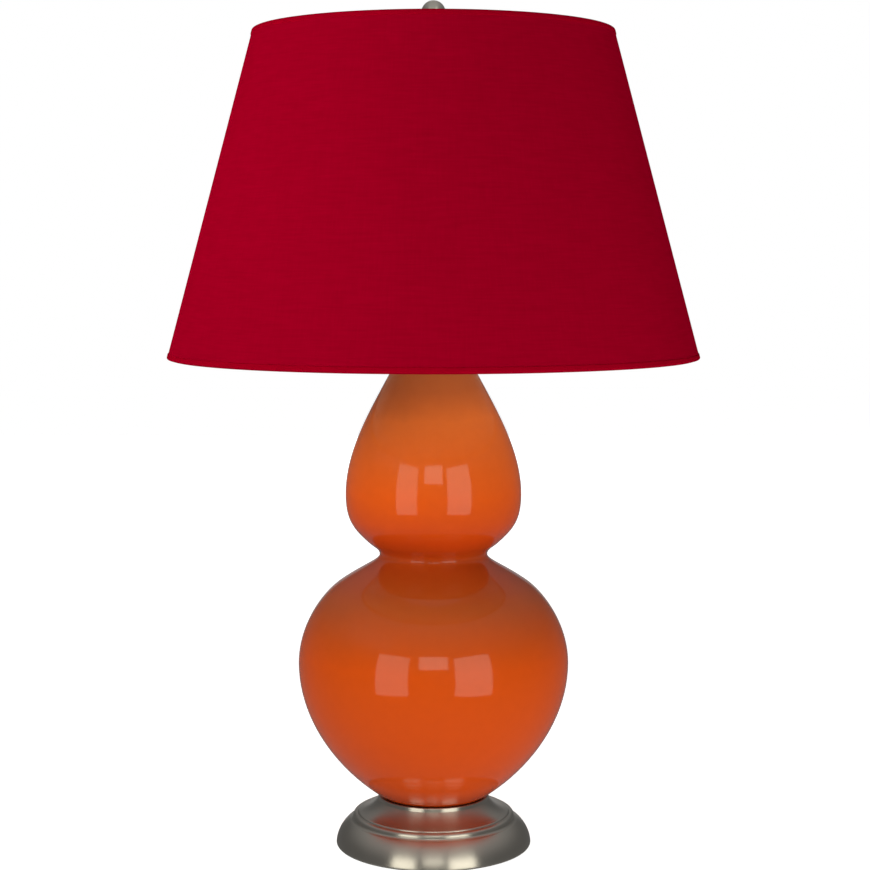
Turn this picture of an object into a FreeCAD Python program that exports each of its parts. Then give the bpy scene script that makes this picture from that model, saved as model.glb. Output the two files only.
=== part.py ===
import FreeCAD, Part
import math
import os

# Double gourd table lamp: a glazed ceramic body on a stepped metal foot, with a threaded
# pipe through it, a harp, a turn-knob lamp holder, a cone shade on a spider and a ball finial.
# Millimetres, +Z up, origin at the centre of the rest face. The front of the lamp faces -Y.

# ---- fits and clearances ----
THREAD_FIT = 0.05       # radial gap between a male and a female thread
TURN_FIT = 0.08         # radial gap of a shaft that turns in its bore
SEAT_GAP = 0.3          # gap between faces that move on each other
LOOSE_FIT = 0.6         # radial gap of a part that only drops into place

# ---- threaded pipe and its hardware ----
PIPE_R = 5.145          # 1/8 IP pipe, 0.405 in outside
PIPE_BORE_R = 3.42
PIPE_TAIL = 3.6         # pipe below the bottom locknut
NUT_ACROSS = 15.0
NUT_THICK = 4.6
LOCK_WASHER_R = 8.6
LOCK_WASHER_THICK = 1.5
LOCK_WASHER_SPLIT = 1.6
WASHER_R = 16.0
WASHER_THICK = 1.8

# ---- metal foot, steps counted from the table up and from the collar out ----
RIM_LIFT = 0.8          # felt standing proud of the metal rim
RIM_ROUND = 2.2
RIM_BOW = 0.64          # bow of the rounded lower edge
SKIRT_RISE = 21.3
STEP_RISE = 2.1
BEAD_RISE = 4.1
RIDGE_RISE = 1.7
COVE_RISE = 11.3
COLLAR_RISE = 3.7
COLLAR_WALL = 1.9
COLLAR_GAP = 2.8        # between the ceramic foot and the collar
COLLAR_LIP = 2.5        # collar standing above the seat
COVE_SPREAD = 17.4
RIDGE_SPREAD = 1.7
LEDGE_SPREAD = 0.9
BEAD_SPREAD = 3.3
STEP_SPREAD = 2.8
SKIRT_SPREAD = 13.0
SKIRT_BOW = 2.9         # how far each curve stands out from its chord
STEP_BOW = 0.5
BEAD_BOW = 1.4
RIDGE_BOW = 0.4
COVE_BOW = 2.2
BASE_WALL = 3.0
SKIRT_WALL = 8.4        # thick lower wall of the casting
WEIGHT_THICK = 21.0
WEIGHT_FIT = 1.8        # gap between the weight and the foot's wall
FELT_THICK = 2.0
FELT_BORDER = 5.4       # metal rim left round the felt

# ---- cord outlet bushing at the back of the foot ----
OUTLET_HEIGHT = 10.0
OUTLET_BORE_R = 3.5
BUSHING_WALL = 1.3
BUSHING_FLANGE_R = 6.2
BUSHING_FLANGE = 2.0
BUSHING_CLIP_R = 5.4
BUSHING_CLIP = 2.4
OUTLET_WALL = 2.6       # metal left under the spot face

# ---- ceramic body: radius, height above the foot, lean of the wall from upright in degrees,
# ---- and how far the curve is pulled on towards the point before and the point after ----
FOOT_R = 46.6
BELLY_R = 124.44
BELLY_RISE = 125.8
SHOULDER_R = 87.06
SHOULDER_RISE = 200.23
WAIST_R = 49.48
WAIST_RISE = 226.53
UNDERBULB_R = 59.67
UNDERBULB_RISE = 237.74
BULB_R = 80.6
BULB_RISE = 282.16
NECK_R = 39.23
NECK_RISE = 393.98
MOUTH_R = 26.0
MOUTH_RISE = 422.0
CERAMIC_WALL = 6.0
PIPE_HOLE_R = 6.6
OUTSIDE_LEAN = 11.5     # degrees that each cone of the outside turns through
INSIDE_LEAN = 28.0
GASKET_THICK = 1.5
FOOT_GASKET_HOLE_R = 19.8
GASKET_INSET = 1.2

# ---- vase cap and turned neck ----
CAP_OVERHANG = 1.2
CAP_WALL = 2.0
CAP_SKIRT = 2.4
CAP_DOME = 8.0
CAP_TOP_R = 9.6
CAP_BOW = 1.6
NECK_HEIGHT = 21.5
NECK_END_R = 8.4
NECK_END = 2.6
NECK_WAIST = 1.9

# ---- harp ----
SADDLE_THICK = 1.6
SADDLE_WIDTH = 11.0
SADDLE_SPAN = 57.0      # middle of one ear to the middle of the other
SADDLE_BEND_R = 3.0
SLEEVE_OFFSET = 0.3     # sleeve sits this much nearer the pipe than the ear and wire it holds
EAR_WIDTH = 6.0
EAR_HEIGHT = 18.5
SHOULDER_HEIGHT = 4.2
HARP_WIRE_R = 1.7
HARP_HEIGHT = 230.0     # from the saddle's underside to the middle of the top wire
HARP_HALF_WIDTH = 57.0
HARP_LEG_FOOT = 2.5
HARP_LEG = 43.0         # top of the upright leg, above the saddle's underside
HARP_FLARE = 96.0       # where the flare ends
HARP_FLARE_R = 30.0
HARP_TOP_R = 50.0
HARP_BOSS_R = 6.5
HARP_BOSS = 5.0
SLEEVE_R = 5.0
SLEEVE_BORE_R = 4.0
SLEEVE_HEIGHT = 15.0

# ---- swivel stud ----
STUD_R = 3.175          # 1/4-27 thread
STUD_HEAD_R = 5.2
STUD_HEAD = 2.2
STUD_DISC_R = 9.0
STUD_DISC = 2.0
STUD_THREAD = 13.0      # thread above the spider hub
STUD_BEVEL = 0.79
STUD_AXIAL_GAP = 0.1

# ---- lamp holder ----
HUB_R = 8.0
HUB_HEIGHT = 5.6
PIPE_SHORT = 1.0        # hub left above the pipe's end
SOCKET_R = 17.6
SOCKET_CAP_DOME = 8.5
SOCKET_CAP_RIM = 4.0
SOCKET_CAP_BOW = 2.2
SHEET_WALL = 0.7
SOCKET_LAP = 3.0        # shell inside the cap
SHELL_HEIGHT = 41.0
LINER_WALL = 0.7
INSULATOR_R = 15.4
INSULATOR_HEIGHT = 21.0
TERMINAL_FLAT = 2.4
TERMINAL_HEIGHT = 9.0
TERMINAL_HEAD_R = 3.0
TERMINAL_HEAD = 2.1
TERMINAL_SHANK_R = 1.6
TERMINAL_SHANK = 5.0
SCREW_SHELL_HEIGHT = 20.0
SCREW_SHELL_WALL = 0.5
CONTACT_R = 3.6
CONTACT_HEIGHT = 1.6
RING_CONTACT_R = 9.0
RING_CONTACT_WALL = 1.2
SET_SCREW_R = 1.5
SET_SCREW_HEAD_R = 2.4
SET_SCREW_HEAD = 1.8
SET_SCREW_SLOT = 0.6
KNOB_SHAFT_R = 1.6
KNOB_SHAFT = 22.0       # shaft outside the insulator
KNOB_SHAFT_SEAT = 9.0   # shaft inside the insulator
KNOB_R = 6.0
KNOB_NECK_R = 4.4
KNOB_LENGTH = 13.0
KNOB_FLUTES = 10
FLUTE_R = 1.0
KNOB_SOCKET = 9.0
KNOB_TAPER = 5.2        # length over which the knob widens
KNOB_EDGE = 0.9
FLUTE_SHALLOW = 0.4     # flute's axis outside the knob
KNOB_HEIGHT = 14.5      # shaft above the insulator's underside

# ---- bulb ----
BULB_CAP_R = 13.0
THREAD_PITCH = 3.63
THREAD_TURNS = 5
THREAD_DEPTH = 0.7
THREAD_ROOT = 0.25      # place of the root and of the crest in one pitch
THREAD_CREST = 0.75
BULB_TIP_R = 3.6
BULB_TIP = 1.6
BULB_TIP_FLAT_R = 2.16  # flat end of the domed tip
BULB_INSULATOR_R = 10.6
BULB_INSULATOR = 4.4
BULB_GLASS_R = 30.0
BULB_SHOULDER = 54.0    # widest place above the cap
GLASS_WALL = 1.2

# ---- shade ----
SHADE_TOP_R = 162.4
SHADE_BOTTOM_R = 241.3
SHADE_HEIGHT = 292.6
SHADE_RECESS = 12.6     # from the spider hub's underside up to the top rim
FABRIC_THICK = 0.6
LINER_THICK = 0.8
TRIM_THICK = 0.6
TRIM_HEIGHT = 4.8
RING_WIRE_R = 1.6
RING_FIT = 0.15         # gap between a ring wire and the trim folded round it
HUB_OUTER_R = 13.0
HUB_THICK = 1.6
SPIDER_WIRE_R = 1.5
SPIDER_ARMS = 3
SPIDER_BEND_R = 14.0
SPIDER_RISE_RUN = 6.0   # how far inside the ring the arms turn up

# ---- finial ----
BALL_R = 11.0
BALL_STEPS = 7
FINIAL_HEIGHT = 38.0
FINIAL_FOOT_R = 7.0
FINIAL_FOOT = 3.0
INSERT_R = 4.9
INSERT_HEIGHT = 15.0
INSERT_WALL_LEFT = 1.4  # metal of the stem round the insert


def at(r, z):
    """Point at radius r and height z in the XZ half plane."""
    return FreeCAD.Vector(r, 0, z)


def bowed(a, b, bow, steps):
    """Points after a on the arc to b, whose middle stands bow to the right of the way there."""
    length = math.hypot(b[0] - a[0], b[1] - a[1])
    ahead = ((b[0] - a[0]) / length, (b[1] - a[1]) / length)
    half = 2 * math.atan(2 * bow / length)
    radius = length / 2 / math.sin(half)
    points = []
    for i in range(1, steps + 1):
        turn = half * (1 - 2 * i / steps)
        along = radius * (math.sin(half) - math.sin(turn))
        out = radius * (math.cos(turn) - math.cos(half))
        points.append((a[0] + along * ahead[0] + out * ahead[1], a[1] + along * ahead[1] - out * ahead[0]))
    return points


def turned(points):
    """Solid of revolution about Z from a closed profile of (radius, height) points."""
    following = points[1:] + points[:1]
    area = sum(r0 * z1 - r1 * z0 for (r0, z0), (r1, z1) in zip(points, following))
    corners = [at(*p) for p in (points if area < 0 else reversed(points))]
    face = Part.Face(Part.makePolygon(corners + corners[:1]))
    return face.revolve(FreeCAD.Vector(), FreeCAD.Vector(0, 0, 1), 360)


def tube(inner, outer, low, high):
    return turned([(inner, low), (outer, low), (outer, high), (inner, high)])


def rod(radius, start, direction, length):
    return Part.makeCylinder(radius, length, start, direction)


def hex_nut(low):
    """Hexagon nut for the pipe, with its flats square to X."""
    corner = NUT_ACROSS / 2 / math.cos(math.pi / 6)
    corners = [FreeCAD.Vector(corner * math.cos(math.radians(a)), corner * math.sin(math.radians(a)), low)
               for a in range(30, 391, 60)]
    prism = Part.Face(Part.makePolygon(corners)).extrude(FreeCAD.Vector(0, 0, NUT_THICK))
    return prism.cut(rod(PIPE_R + THREAD_FIT, at(0, low), FreeCAD.Vector(0, 0, 1), NUT_THICK))


def curve(nodes, lean_step):
    """Points on smooth cubics through (radius, height, lean, pull before, pull after) nodes."""
    points = [nodes[0][:2]]
    for (r0, z0, lean0, _, pull0), (r1, z1, lean1, pull1, _) in zip(nodes, nodes[1:]):
        chord = math.hypot(r1 - r0, z1 - z0)
        a0 = math.radians(lean0)
        a1 = math.radians(lean1)
        poles = [(r0, z0),
                 (r0 + chord * pull0 * math.sin(a0), z0 + chord * pull0 * math.cos(a0)),
                 (r1 - chord * pull1 * math.sin(a1), z1 - chord * pull1 * math.cos(a1)),
                 (r1, z1)]
        steps = max(1, round(abs(lean1 - lean0) / lean_step))
        points += [cubic(poles, i / steps) for i in range(1, steps + 1)]
    return points


def cubic(poles, t):
    """Point at t, from 0 to 1, on the cubic curve that the four poles pull."""
    weights = ((1 - t) ** 3, 3 * t * (1 - t) ** 2, 3 * t * t * (1 - t), t ** 3)
    return tuple(sum(w * pole[k] for w, pole in zip(weights, poles)) for k in (0, 1))


def moved_in(nodes, wall):
    """The same nodes moved a wall's thickness square to the outline, towards the axis."""
    return [(r - wall * math.cos(math.radians(lean)), z + wall * math.sin(math.radians(lean)),
             lean, before, after) for r, z, lean, before, after in nodes]


def rounded_path(points, radii):
    """Straight runs in the XZ plane joined by tangent arcs, one radius per inner point."""
    edges = []
    start = at(*points[0])
    for before, corner, after, radius in zip(points, points[1:], points[2:], radii):
        corner = at(*corner)
        back = (at(*before) - corner).normalize()
        ahead = (at(*after) - corner).normalize()
        half = back.getAngle(ahead) / 2
        reach = radius / math.tan(half)
        into = corner + back * reach
        out = corner + ahead * reach
        middle = corner + (back + ahead).normalize() * (radius / math.sin(half) - radius)
        edges += [Part.makeLine(start, into), Part.Arc(into, middle, out).toShape()]
        start = out
    edges.append(Part.makeLine(start, at(*points[-1])))
    return Part.Wire(edges)


def wire_form(path, radius):
    """Round wire swept along a path of lines and tangent arcs."""
    start = path.Edges[0].firstVertex().Point
    along = path.Edges[0].tangentAt(path.Edges[0].FirstParameter)
    section = Part.Wire(Part.makeCircle(radius, start, along))
    return path.makePipeShell([section], True, False)


def around(shape, count):
    """Copies of a shape spaced evenly about Z."""
    copies = []
    for i in range(count):
        copy = shape.copy()
        copy.rotate(FreeCAD.Vector(), FreeCAD.Vector(0, 0, 1), 360 * i / count)
        copies.append(copy)
    return copies


# ---- heights that follow from the stack ----
skirt_low = RIM_LIFT + RIM_ROUND
skirt_top = skirt_low + SKIRT_RISE
bead_low = skirt_top + STEP_RISE
bead_top = bead_low + BEAD_RISE
ridge_top = bead_top + RIDGE_RISE
cove_top = ridge_top + COVE_RISE
collar_top = cove_top + COLLAR_RISE
seat_z = collar_top - COLLAR_LIP
plate_z = seat_z - BASE_WALL
weight_z = plate_z - WEIGHT_THICK
washer_z = weight_z - WASHER_THICK
lock_washer_z = washer_z - LOCK_WASHER_THICK
nut_z = lock_washer_z - NUT_THICK
foot_z = seat_z + GASKET_THICK
mouth_z = foot_z + MOUTH_RISE
cap_z = mouth_z + GASKET_THICK
neck_z = cap_z + CAP_DOME
saddle_z = neck_z + NECK_HEIGHT
top_nut_z = saddle_z + SADDLE_THICK
socket_z = top_nut_z + NUT_THICK
pipe_top = socket_z + HUB_HEIGHT - PIPE_SHORT
socket_cap_top = socket_z + HUB_HEIGHT + SOCKET_CAP_DOME + SOCKET_CAP_RIM
shell_z = socket_cap_top - SOCKET_LAP
insulator_z = socket_z + HUB_HEIGHT + SOCKET_CAP_DOME
insulator_top = insulator_z + INSULATOR_HEIGHT
knob_z = insulator_z + KNOB_HEIGHT
contact_top = insulator_top + CONTACT_HEIGHT
bulb_z = contact_top + SEAT_GAP / 3
bulb_cap_z = bulb_z + BULB_TIP + BULB_INSULATOR
glass_z = bulb_cap_z + THREAD_PITCH * THREAD_TURNS
harp_top = saddle_z + HARP_HEIGHT
boss_low = harp_top - HARP_BOSS / 2
boss_top = harp_top + HARP_BOSS / 2
disc_z = boss_top + STUD_AXIAL_GAP
hub_z = disc_z + STUD_DISC
finial_z = hub_z + HUB_THICK
shade_top = hub_z + SHADE_RECESS
shade_low = shade_top - SHADE_HEIGHT

# ---- radii that follow from the ceramic foot and the wall ----
collar_inner = FOOT_R + COLLAR_GAP
collar_r = collar_inner + COLLAR_WALL
cove_r = collar_r + COVE_SPREAD
ridge_r = cove_r + RIDGE_SPREAD
bead_r = ridge_r + LEDGE_SPREAD
step_r = bead_r + BEAD_SPREAD
skirt_top_r = step_r + STEP_SPREAD
skirt_r = skirt_top_r + SKIRT_SPREAD
felt_r = skirt_r - FELT_BORDER
cavity_r = skirt_r - SKIRT_WALL
bushing_body_r = OUTLET_BORE_R + BUSHING_WALL
spot_y = cavity_r + OUTLET_WALL
bushing_inner = cavity_r - SEAT_GAP - BUSHING_CLIP

# ---- places on the harp's saddle and in the lamp holder ----
ear_x = SADDLE_SPAN / 2
leg_x = ear_x + SADDLE_THICK / 2 + HARP_WIRE_R
sleeve_x = (ear_x - SADDLE_THICK / 2 + leg_x + HARP_WIRE_R) / 2 - SLEEVE_OFFSET
shoulder_z = saddle_z + SHOULDER_HEIGHT
sleeve_z = shoulder_z + SEAT_GAP
set_screw_z = socket_z + HUB_HEIGHT / 2
terminal_x = INSULATOR_R - TERMINAL_FLAT
terminal_z = insulator_z + TERMINAL_HEIGHT / 2
screw_shell_r = BULB_CAP_R + TURN_FIT


# ---- foot ----
def metal_base():
    """Cast foot: outside from the rim up to the collar, then the seat and the hollow inside."""
    collar_edge = COLLAR_WALL / 3
    outside = [
        (skirt_r - RIM_ROUND, RIM_LIFT),
        *bowed((skirt_r - RIM_ROUND, RIM_LIFT), (skirt_r, skirt_low), RIM_BOW, 2),
        *bowed((skirt_r, skirt_low), (skirt_top_r, skirt_top), SKIRT_BOW, 5),
        *bowed((skirt_top_r, skirt_top), (step_r, bead_low), -STEP_BOW, 2),
        *bowed((step_r, bead_low), (bead_r, bead_top), BEAD_BOW, 4),
        (ridge_r, bead_top),
        *bowed((ridge_r, bead_top), (cove_r, ridge_top), RIDGE_BOW, 2),
        *bowed((cove_r, ridge_top), (collar_r, cove_top), -COVE_BOW, 4),
        (collar_r, collar_top - collar_edge),
        (collar_r - collar_edge, collar_top)]
    inside = [
        (collar_inner, collar_top),
        (collar_inner, seat_z),
        (PIPE_R + LOOSE_FIT, seat_z),
        (PIPE_R + LOOSE_FIT, plate_z),
        (collar_r - BASE_WALL, plate_z),
        (collar_r - BASE_WALL, ridge_top + BASE_WALL),
        (cove_r - BASE_WALL, ridge_top - BASE_WALL),
        (skirt_top_r - BASE_WALL, skirt_top - BASE_WALL),
        (cavity_r, OUTLET_HEIGHT + BUSHING_CLIP_R + LOOSE_FIT),
        (cavity_r, FELT_THICK),
        (felt_r + SEAT_GAP, FELT_THICK),
        (felt_r + SEAT_GAP, RIM_LIFT)]
    back = FreeCAD.Vector(0, 1, 0)
    hole = rod(bushing_body_r + THREAD_FIT, FreeCAD.Vector(0, cavity_r / 2, OUTLET_HEIGHT), back, skirt_r)
    spot = rod(BUSHING_FLANGE_R + SEAT_GAP, FreeCAD.Vector(0, spot_y, OUTLET_HEIGHT), back, skirt_r)
    return turned(outside + inside).cut(hole).cut(spot)


def cord_bushing():
    """Snap-in bushing: bevelled flange outside, plain body through the wall, clip inside."""
    bevel = BUSHING_FLANGE / 2
    flange_y = spot_y + BUSHING_FLANGE
    clip_y = bushing_inner + BUSHING_CLIP
    bushing = turned([
        (OUTLET_BORE_R, bushing_inner),
        (bushing_body_r, bushing_inner),
        (BUSHING_CLIP_R, clip_y),
        (bushing_body_r, clip_y),
        (bushing_body_r, spot_y),
        (BUSHING_FLANGE_R, spot_y),
        (BUSHING_FLANGE_R, flange_y - bevel),
        (BUSHING_FLANGE_R - bevel, flange_y),
        (OUTLET_BORE_R, flange_y)])
    bushing.rotate(FreeCAD.Vector(), FreeCAD.Vector(1, 0, 0), -90)
    bushing.translate(FreeCAD.Vector(0, 0, OUTLET_HEIGHT))
    return bushing


def base_weight():
    return tube(PIPE_R + LOOSE_FIT, collar_r - BASE_WALL - WEIGHT_FIT, weight_z, plate_z)


def felt_pad():
    return rod(felt_r, at(0, 0), FreeCAD.Vector(0, 0, 1), FELT_THICK)


def base_washer():
    return tube(PIPE_R + SEAT_GAP, WASHER_R, washer_z, weight_z)


def base_lock_washer():
    """Helical spring washer, drawn closed, with its split towards the back."""
    ring = tube(PIPE_R + SEAT_GAP, LOCK_WASHER_R, lock_washer_z, washer_z)
    split = Part.makeBox(LOCK_WASHER_SPLIT, LOCK_WASHER_R * 2, LOCK_WASHER_THICK * 3)
    split.translate(FreeCAD.Vector(-LOCK_WASHER_SPLIT / 2, 0, lock_washer_z - LOCK_WASHER_THICK))
    return ring.cut(split)


def threaded_pipe():
    return tube(PIPE_BORE_R, PIPE_R, nut_z - PIPE_TAIL, pipe_top)


# ---- ceramic body ----
def gourd_nodes():
    return [
        (FOOT_R, foot_z, 57.5, 0.0, 0.359),
        (BELLY_R, foot_z + BELLY_RISE, 0.0, 0.342, 0.407),
        (SHOULDER_R, foot_z + SHOULDER_RISE, -55.1, 0.239, 0.57),
        (WAIST_R, foot_z + WAIST_RISE, 0.0, 0.136, 0.318),
        (UNDERBULB_R, foot_z + UNDERBULB_RISE, 47.7, 0.349, 0.39),
        (BULB_R, foot_z + BULB_RISE, 0.0, 0.485, 0.326),
        (NECK_R, foot_z + NECK_RISE, -28.5, 0.34, 0.34),
        (MOUTH_R, mouth_z, 0.0, 0.34, 0.0)]


def ceramic_body():
    """Slip-cast body: the outline, the same outline a wall further in, and a holed floor."""
    outside = curve(gourd_nodes(), OUTSIDE_LEAN)
    inside = curve(moved_in(gourd_nodes(), CERAMIC_WALL), INSIDE_LEAN)
    floor = inside[0][1]
    return turned(outside + inside[::-1] + [(PIPE_HOLE_R, floor), (PIPE_HOLE_R, foot_z)])


def foot_gasket():
    return tube(FOOT_GASKET_HOLE_R, FOOT_R - GASKET_INSET, seat_z, foot_z)


def neck_gasket():
    return tube(MOUTH_R - CERAMIC_WALL + GASKET_INSET / 2, MOUTH_R - GASKET_INSET / 2, mouth_z, cap_z)


def vase_cap():
    """Domed cap over the mouth, recessed underneath so that it centres on the ceramic."""
    inner = MOUTH_R + CAP_OVERHANG
    outer = inner + CAP_WALL
    bore = PIPE_R + SEAT_GAP
    return turned([
        (bore, cap_z),
        (inner, cap_z),
        (inner, cap_z - CAP_SKIRT),
        (outer, cap_z - CAP_SKIRT),
        (outer, cap_z),
        *bowed((outer, cap_z), (CAP_TOP_R, neck_z), CAP_BOW, 3),
        (bore, neck_z)])


def neck_tube():
    """Turned spacer with a hollowed waist between two collars."""
    bore = PIPE_R + SEAT_GAP
    low = neck_z + NECK_END
    high = saddle_z - NECK_END
    return turned([
        (bore, neck_z),
        (NECK_END_R, neck_z),
        (NECK_END_R, low),
        *bowed((NECK_END_R, low), (NECK_END_R, high), -NECK_WAIST, 4),
        (NECK_END_R, saddle_z),
        (bore, saddle_z)])


# ---- harp ----
def rounded_trough(half_width, low, corner_r):
    """Block with its two lower edges along Y rounded, tall enough for the ears."""
    block = Part.makeBox(2 * half_width, SADDLE_WIDTH, EAR_HEIGHT * 2)
    block.translate(FreeCAD.Vector(-half_width, -SADDLE_WIDTH / 2, low))
    lower = [e for e in block.Edges
             if abs(e.BoundBox.ZMax - low) < 0.01 and e.BoundBox.XLength < 0.01]
    return block.makeFillet(corner_r, lower)


def harp_saddle():
    """Bent strip on the pipe, with a narrow upright ear at each end."""
    outer = rounded_trough(ear_x + SADDLE_THICK / 2, saddle_z, SADDLE_BEND_R)
    inner = rounded_trough(ear_x - SADDLE_THICK / 2, saddle_z + SADDLE_THICK, SADDLE_BEND_R - SADDLE_THICK)
    strip = outer.cut(inner)
    ear_box = Part.makeBox(SADDLE_SPAN * 2, EAR_WIDTH, EAR_HEIGHT - SHOULDER_HEIGHT)
    ear_box.translate(FreeCAD.Vector(-SADDLE_SPAN, -EAR_WIDTH / 2, shoulder_z))
    low_box = Part.makeBox(SADDLE_SPAN * 2, SADDLE_WIDTH * 2, SHOULDER_HEIGHT)
    low_box.translate(FreeCAD.Vector(-SADDLE_SPAN, -SADDLE_WIDTH, saddle_z))
    hole = rod(PIPE_R + SEAT_GAP, at(0, saddle_z), FreeCAD.Vector(0, 0, 1), SADDLE_THICK)
    return strip.common(low_box.fuse(ear_box)).cut(hole).removeSplitter()


def harp_bow():
    """One bent wire: two upright legs, a flare, long sides and a rounded top with its boss."""
    half = [
        (leg_x, saddle_z + HARP_LEG_FOOT),
        (leg_x, saddle_z + HARP_LEG),
        (HARP_HALF_WIDTH, saddle_z + HARP_FLARE),
        (HARP_HALF_WIDTH, harp_top)]
    points = half + [(-x, z) for x, z in reversed(half)]
    radii = [HARP_FLARE_R, HARP_FLARE_R, HARP_TOP_R, HARP_TOP_R, HARP_FLARE_R, HARP_FLARE_R]
    bow = wire_form(rounded_path(points, radii), HARP_WIRE_R)
    up = FreeCAD.Vector(0, 0, 1)
    boss = rod(HARP_BOSS_R, at(0, boss_low), up, HARP_BOSS)
    bore = rod(STUD_R + TURN_FIT, at(0, boss_low), up, HARP_BOSS)
    return bow.fuse(boss).cut(bore)


def harp_sleeve(side):
    sleeve = tube(SLEEVE_BORE_R, SLEEVE_R, sleeve_z, sleeve_z + SLEEVE_HEIGHT)
    sleeve.translate(FreeCAD.Vector(side * sleeve_x, 0, 0))
    return sleeve


def harp_swivel_stud():
    """Headed stud that turns in the harp's boss and carries the shade and finial."""
    head_z = boss_low - STUD_AXIAL_GAP
    top = finial_z + STUD_THREAD
    return turned([
        (0, head_z - STUD_HEAD), (STUD_HEAD_R, head_z - STUD_HEAD), (STUD_HEAD_R, head_z),
        (STUD_R, head_z), (STUD_R, disc_z), (STUD_DISC_R, disc_z), (STUD_DISC_R, hub_z),
        (STUD_R, hub_z), (STUD_R, top - STUD_BEVEL), (STUD_R - STUD_BEVEL, top), (0, top)])


# ---- lamp holder ----
def socket_cap():
    """Spun cap: threaded hub, sloping shoulder and a rim that the shell pushes into."""
    outer = SOCKET_R + SHEET_WALL + TURN_FIT
    hub_top = socket_z + HUB_HEIGHT
    dome_top = hub_top + SOCKET_CAP_DOME
    bore = PIPE_R + THREAD_FIT
    inner = outer - SHEET_WALL
    cap = turned([
        (bore, socket_z),
        (HUB_R, socket_z),
        (HUB_R, hub_top),
        *bowed((HUB_R, hub_top), (outer, dome_top), SOCKET_CAP_BOW, 2),
        (outer, socket_cap_top),
        (inner, socket_cap_top),
        (inner, dome_top),
        *bowed((inner, dome_top), (HUB_R - SHEET_WALL, hub_top + SHEET_WALL), -SOCKET_CAP_BOW, 2),
        (bore, hub_top + SHEET_WALL)])
    start = FreeCAD.Vector(0, 0, set_screw_z)
    return cap.cut(rod(SET_SCREW_R, start, FreeCAD.Vector(0, 1, 0), HUB_R * 2))


def socket_set_screw():
    """Set screw at the back of the hub that stops the holder turning on the pipe."""
    back = FreeCAD.Vector(0, 1, 0)
    start = FreeCAD.Vector(0, PIPE_R + THREAD_FIT, set_screw_z)
    shank = rod(SET_SCREW_R - THREAD_FIT, start, back, HUB_R - PIPE_R)
    head = rod(SET_SCREW_HEAD_R, FreeCAD.Vector(0, HUB_R, set_screw_z), back, SET_SCREW_HEAD)
    slot = Part.makeBox(SET_SCREW_HEAD_R * 2, SET_SCREW_HEAD, SET_SCREW_SLOT)
    slot.translate(FreeCAD.Vector(-SET_SCREW_HEAD_R, HUB_R + SET_SCREW_HEAD / 2,
                                  set_screw_z - SET_SCREW_SLOT / 2))
    return shank.fuse(head).cut(slot)


def socket_shell():
    """Outer shell with a slot at the front that drops over the knob's shaft."""
    shell = tube(SOCKET_R - SHEET_WALL, SOCKET_R, shell_z, shell_z + SHELL_HEIGHT)
    return shell.cut(knob_slot())


def knob_slot():
    """Open-ended slot from the lower edge up to just above the knob's shaft."""
    width = (KNOB_SHAFT_R + LOOSE_FIT) * 2
    slot = Part.makeBox(width, SOCKET_R * 2, knob_z + width / 2 - shell_z + 1)
    slot.translate(FreeCAD.Vector(-width / 2, -SOCKET_R * 2, shell_z - 1))
    return slot


def socket_liner():
    outer = SOCKET_R - SHEET_WALL - THREAD_FIT
    return tube(outer - LINER_WALL, outer, shell_z, shell_z + SHELL_HEIGHT - 1).cut(knob_slot())


def socket_insulator():
    """Moulded block with two flats for the terminals and a bore for the knob's shaft."""
    up = FreeCAD.Vector(0, 0, 1)
    block = rod(INSULATOR_R, at(0, insulator_z), up, INSULATOR_HEIGHT)
    for side in (-1, 1):
        cut = Part.makeBox(TERMINAL_FLAT, INSULATOR_R * 2, TERMINAL_HEIGHT)
        x = terminal_x if side > 0 else -INSULATOR_R
        cut.translate(FreeCAD.Vector(x, -INSULATOR_R, insulator_z))
        hole = rod(TERMINAL_SHANK_R + THREAD_FIT, FreeCAD.Vector(side * terminal_x, 0, terminal_z),
                   FreeCAD.Vector(-side, 0, 0), TERMINAL_SHANK + SEAT_GAP)
        block = block.cut(cut).cut(hole)
    front = FreeCAD.Vector(0, -INSULATOR_R - 1, knob_z)
    bore = rod(KNOB_SHAFT_R + TURN_FIT, front, FreeCAD.Vector(0, 1, 0), KNOB_SHAFT_SEAT + SEAT_GAP + 1)
    return block.cut(bore)


def terminal_screws():
    screws = []
    for side in (-1, 1):
        start = FreeCAD.Vector(side * terminal_x, 0, terminal_z)
        head = rod(TERMINAL_HEAD_R, start, FreeCAD.Vector(side, 0, 0), TERMINAL_HEAD)
        shank = rod(TERMINAL_SHANK_R, start, FreeCAD.Vector(-side, 0, 0), TERMINAL_SHANK)
        screws.append(head.fuse(shank))
    return Part.makeCompound(screws)


def socket_screw_shell():
    """Threaded sleeve that the bulb screws into, on top of the insulator."""
    return tube(screw_shell_r, screw_shell_r + SCREW_SHELL_WALL, insulator_top,
                insulator_top + SCREW_SHELL_HEIGHT)


def centre_contact():
    return rod(CONTACT_R, at(0, insulator_top), FreeCAD.Vector(0, 0, 1), CONTACT_HEIGHT)


def ring_contact():
    """Second contact of a three-way holder, a short ring between the centre and the sleeve."""
    return tube(RING_CONTACT_R - RING_CONTACT_WALL, RING_CONTACT_R, insulator_top, contact_top)


def switch_shaft():
    start = FreeCAD.Vector(0, -(INSULATOR_R - KNOB_SHAFT_SEAT), knob_z)
    return rod(KNOB_SHAFT_R, start, FreeCAD.Vector(0, -1, 0), KNOB_SHAFT_SEAT + KNOB_SHAFT)


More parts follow.
